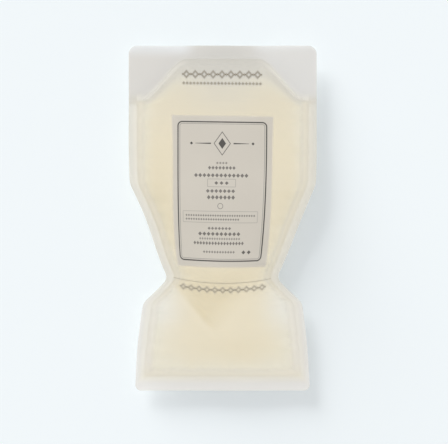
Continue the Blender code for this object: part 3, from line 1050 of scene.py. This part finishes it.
def plainFilmMaterial(name, alpha):
    recipe = Recipe(bpy.data.materials.new(name))
    cloud = recipe.noise(film["plainCloudScale"], film["cloudDetail"])
    welded = recipe.kept("welded")
    colour = recipe.blend(cloud, film["cool"], film["warm"])
    colour = recipe.blend(welded, colour, film["sealed"])
    alpha = alpha + welded * (film["sealedAlpha"] - alpha)
    roughness = frosted(recipe, cloud)
    return recipe.finish(Base_Color=colour, Alpha=alpha, Roughness=roughness, Metallic=0.0)


cream = {
    "thin": (0.875, 0.82, 0.69),
    "pale": (0.862, 0.812, 0.652),
    "deep": (0.85, 0.75, 0.515),
    # deeper gold tone, also the colour of painted shade in the buckle's hollow
    "goldAndHollowShade": (0.79, 0.67, 0.39),
    "milky": (0.88, 0.865, 0.80),
    # darker liquid under the grey film, partly painted shade over the crown
    "underSlackAndShade": (0.75, 0.72, 0.63),
    "thinDepth": 0.0005,
    "paleDepth": 0.0042,
    "deepDepth": 0.020,
    "solidDepth": 0.003,
    "edgeAlpha": 0.75,
    "cloudScale": 38.0,
    "cloudDetail": 3.0,
    "cloudRoughness": 0.55,
    "cloudInDepth": 0.006,
    "bumpDistance": 0.0002,
    "bumpStrength": 0.5,
    "roughness": 0.34,
    "cloudInRoughness": 0.1,
}


def cleanserMaterial():
    recipe = Recipe(bpy.data.materials.new("creamyCleanser"))
    depth, goldAndShadeShare, milkyShare, slack = map(recipe.kept, ("fillDepth", "goldAndShadeShare", "milky", "slack"))
    cloud = recipe.noise(cream["cloudScale"], cream["cloudDetail"], cream["cloudRoughness"])
    cloudyDepth = depth + (cloud - 0.5) * cream["cloudInDepth"]
    pale = recipe.ranged(depth, cream["thinDepth"], cream["paleDepth"])
    deep = recipe.ranged(cloudyDepth, cream["paleDepth"], cream["deepDepth"])
    colour = recipe.blend(pale, cream["thin"], cream["pale"])
    colour = recipe.blend(deep, colour, cream["deep"])
    # deeper gold patches, and painted shade in the buckle's hollow
    colour = recipe.blend(goldAndShadeShare, colour, cream["goldAndHollowShade"])
    colour = recipe.blend(milkyShare, colour, cream["milky"])
    # darker liquid under the grey film, partly painted shade over the crown
    colour = recipe.blend(slack, colour, cream["underSlackAndShade"])
    alpha = recipe.ranged(depth, 0.0, cream["solidDepth"], cream["edgeAlpha"], 1.0)
    roughness = cream["roughness"] + cloud * cream["cloudInRoughness"]
    recipe.bumped(cloud, cream["bumpDistance"], cream["bumpStrength"])
    return recipe.finish(Base_Color=colour, Alpha=alpha, Roughness=roughness, Metallic=0.0)


print("making the materials")
frontFilm = frontFilmMaterial()
backFilm = plainFilmMaterial("frostedFilm", film["backAlpha"])
gussetFilm = plainFilmMaterial("frostedGussetFilm", film["alpha"])
creamyCleanser = cleanserMaterial()

print("building the pieces")
columns, rows = plan["x"].shape
bakeSide = pouch["length"] * grid["bakeMargin"]
flatPlaces = 0.5 + np.stack([plan["x"], plan["y"]], axis=-1) / bakeSide
onLabel, onFilm = printPlaces()
frontNumbers = {"labelPlace": onLabel, "filmPlace": onFilm}
frontNumbers.update((name, values.ravel()) for name, values in tints.items())
backNumbers = {"welded": tints["welded"].ravel()}
frontFaces, backFaces = sheetFaces(columns, rows), sheetFaces(columns, rows, up=False)
front, back = web(heights["front"]), web(heights["back"])
frontPanel = buildPiece("front_panel_film", front, frontFaces, frontNumbers, frontFilm, flatPlaces)
backPanel = buildPiece("back_panel_film", back, backFaces, backNumbers, backFilm, flatPlaces)

beyondFold = slice(plan["foldRow"], None)
lower, upper = web(heights["lowerLeaf"], beyondFold), web(heights["upperLeaf"], beyondFold)
leaves = np.concatenate([lower[:, ::-1], upper], axis=1)
leafWeld = (plan["tongueStep"][beyondFold] >= 1) | (abs(plan["places"])[:, None] >= 2)
leafWeld = np.concatenate([leafWeld[:, ::-1], leafWeld], axis=1)
leafFaces, leafNumbers = sheetFaces(*leaves.shape[:2]), {"welded": leafWeld.ravel()}
gussetWeb = buildPiece("gusset_film", leaves, leafFaces, leafNumbers, gussetFilm)

fillPoints, fillFaces, fillNumbers = fillLoops()
cleanserFill = buildPiece("cleanser_fill", fillPoints, fillFaces, fillNumbers, creamyCleanser)

for piece, node, slot in (
    (frontPanel, "front_panel", "front_film"),
    (backPanel, "back_panel", "back_film"),
    (gussetWeb, "gusset", "gusset_film"),
    (cleanserFill, "cleanser", "cleanser"),
):
    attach(piece, "root")
    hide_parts(node)


# The table, the light and the camera.

studio = {
    "floorColour": (0.885, 0.935, 0.958),
    "floorRoughness": 0.9,
    "floorHalf": 4,
    "floorAt": -0.0002,
    "worldStrength": 0.45,
    "lamps": {  # name: from, strength, angle in degrees, what it falls on, whether it casts a shadow
        "overhead": ((-0.06, 0.10, 1.0), 0.75, 60, "product", True),
        "left panel": ((-1.0, 0.1, 0.45), 0.62, 50, "product", True),
        "right panel": ((1.0, 0.1, 0.45), 0.58, 50, "product", True),
        "head panel": ((0.0, 1.0, 0.45), 0.58, 50, "product", True),
        "foot panel": ((0.0, -1.0, 0.45), 0.58, 50, "product", True),
        "window": ((-0.50, 0.80, 0.25), 3.20, 36, "table", True),
        "even": ((0.0, 0.0, 1.0), 0.91, 50, "table", False),
    },
    "cameraAt": (0.001, -0.0027, 0.956),
    "lens": 100,
    "sensorWidth": 36,
    "nearest": 0.05,
}

print("setting the table and the light")
half, level = studio["floorHalf"], studio["floorAt"]
corners = [(x, y, level) for x, y in ((-half, -half), (half, -half), (half, half), (-half, half))]
floorMesh = bpy.data.meshes.new("table")
floorMesh.from_pydata(corners, [], [(0, 1, 2, 3)])
floor = bpy.data.objects.new("table", floorMesh)
bpy.context.scene.collection.objects.link(floor)
floorRecipe = Recipe(bpy.data.materials.new("paleTable"))
floorMesh.materials.append(floorRecipe.finish(
    Base_Color=studio["floorColour"], Roughness=studio["floorRoughness"], Specular_IOR_Level=0.0))

world = bpy.data.worlds.new("softbox")
bpy.context.scene.world = world
sky = Recipe(world)
kinds = ("Is Camera Ray", "Is Glossy Ray", "Is Transmission Ray")
direct, glossy, through = (sky.node("ShaderNodeLightPath", {}, {}, kind) for kind in kinds)
seen = direct.most(glossy).most(through)  # 1 where the sky itself is looked at
sky.finish(Color=(1, 1, 1), Strength=studio["worldStrength"] + seen * (1 - studio["worldStrength"]))

lit = {"product": [frontPanel, backPanel, gussetWeb, cleanserFill], "table": [floor]}
for name, (place, strength, angle, fallsOn, shadow) in studio["lamps"].items():
    lamp = bpy.data.objects.new(name, bpy.data.lights.new(name, "SUN"))
    lamp.data.energy = strength
    lamp.data.angle = math.radians(angle)
    lamp.data.use_shadow = shadow
    lamp.location = place
    lamp.rotation_mode = "QUATERNION"
    lamp.rotation_quaternion = (-lamp.location).to_track_quat("-Z", "Y")
    bpy.context.scene.collection.objects.link(lamp)
    lamp.light_linking.receiver_collection = bpy.data.collections.new(name)
    for thing in lit[fallsOn]:
        lamp.light_linking.receiver_collection.objects.link(thing)

camera = bpy.data.objects.new("camera", bpy.data.cameras.new("camera"))
camera.data.lens = studio["lens"]
camera.data.sensor_width = studio["sensorWidth"]
camera.data.clip_start = studio["nearest"]
camera.location = studio["cameraAt"]
bpy.context.scene.collection.objects.link(camera)
bpy.context.scene.camera = camera
bpy.context.scene.view_settings.view_transform = "Standard"
